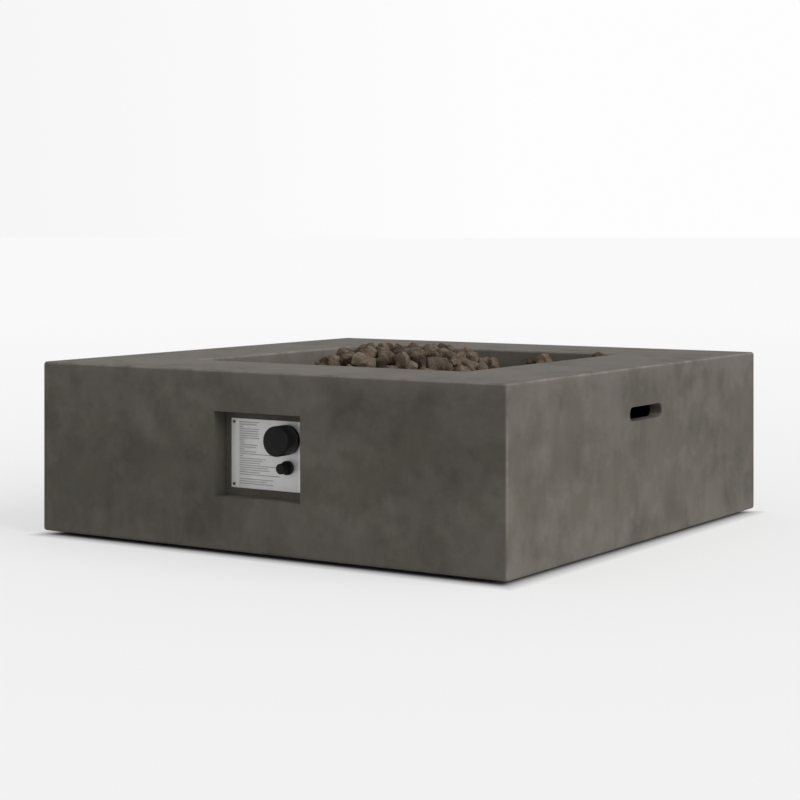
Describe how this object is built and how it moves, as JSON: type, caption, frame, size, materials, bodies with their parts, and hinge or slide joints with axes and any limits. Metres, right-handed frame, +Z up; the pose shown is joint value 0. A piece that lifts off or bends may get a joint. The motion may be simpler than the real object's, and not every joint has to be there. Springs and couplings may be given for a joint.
{
  "type": "gas fire table",
  "caption": "Low square cast-concrete gas fire pit with lava rock on a grate over a ring burner, a recessed control plate with a push-and-turn knob and a push igniter.",
  "frame": {"origin": "on the ground, at the centre of the whole object's plan", "axes": "+X to the right seen from the control side, +Y away from the control side, +Z up"},
  "size_m": [1.067, 1.075, 0.3765],
  "materials": {
    "concrete": "smooth cast, cloudy dark taupe-grey",
    "stainless": "brushed",
    "galvanised": "dull zinc",
    "grate_steel": "heat-blackened",
    "black_plastic": "moulded satin black",
    "brass": "turned",
    "aluminium": "drawn tube",
    "ceramic": "glazed off-white",
    "dark_screw": "blackened steel",
    "rubber": "moulded",
    "lead_jacket": "silicone jacket",
    "copper": "drawn capillary",
    "battery": "printed can, no text",
    "lava_rock": "pitted brown lava"
  },
  "bodies": {
    "table": {"concrete_shell": "concrete", "control_plate": "stainless", "gas_valve_body": "brass", "knob_bezel": "black_plastic", "igniter_housing": "black_plastic", "igniter_nut": "black_plastic", "igniter_battery": "battery", "igniter_lead": "lead_jacket", "electrode_insulator": "ceramic", "electrode_rod": "stainless", "thermocouple": "stainless", "thermocouple_lead": "copper", "sensor_bracket": "stainless", "gas_inlet_fitting": "brass", "gas_line": "aluminium", "line_nut_valve": "brass", "line_nut_burner": "brass", "gas_orifice": "brass", "mixer_tube": "aluminium", "burner_ring": "stainless", "burner_nut": "brass", "burner_pan": "stainless", "rock_grate": "grate_steel", "lava_rock_bed": "lava_rock", "heat_shield": "galvanised", "plate_screw_1": "dark_screw", "plate_screw_2": "dark_screw", "plate_screw_3": "dark_screw", "plate_screw_4": "dark_screw", "foot_screw_1": "dark_screw", "foot_screw_2": "dark_screw", "foot_screw_3": "dark_screw", "foot_screw_4": "dark_screw", "valve_screw_1": "dark_screw", "valve_screw_2": "dark_screw", "foot_pad_1": "rubber", "shield_standoff_1": "galvanised", "shield_nut_1": "galvanised", "foot_pad_2": "rubber", "shield_standoff_2": "galvanised", "shield_nut_2": "galvanised", "foot_pad_3": "rubber", "shield_standoff_3": "galvanised", "shield_nut_3": "galvanised", "foot_pad_4": "rubber", "shield_standoff_4": "galvanised", "shield_nut_4": "galvanised"},
    "valve_rotor": {"valve_plug": "brass"},
    "knob": {"control_knob": "black_plastic", "valve_stem": "stainless"},
    "igniter_button": {"igniter_button": "black_plastic"},
    "air_shutter": {"air_shutter": "galvanised"}
  },
  "joints": [
    {"name": "knob_turn", "type": "hinge", "parent": "table", "child": "valve_rotor", "pos_m": [0.0462, -0.5, 0.2183], "axis": [0, -1, 0], "range_deg": [0, 210]},
    {"name": "knob_press", "type": "slide", "parent": "valve_rotor", "child": "knob", "axis": [0, 1, 0], "range_m": [0, 0.003], "stiffness_N_per_m": 1200, "springref_m": -0.002},
    {"name": "igniter_press", "type": "slide", "parent": "table", "child": "igniter_button", "axis": [0, 1, 0], "range_m": [0, 0.003], "stiffness_N_per_m": 900, "springref_m": -0.002},
    {"name": "air_shutter_turn", "type": "hinge", "parent": "table", "child": "air_shutter", "pos_m": [0, 0.004, 0.145], "axis": [0, 0, 1], "range_deg": [0, 45]}
  ]
}
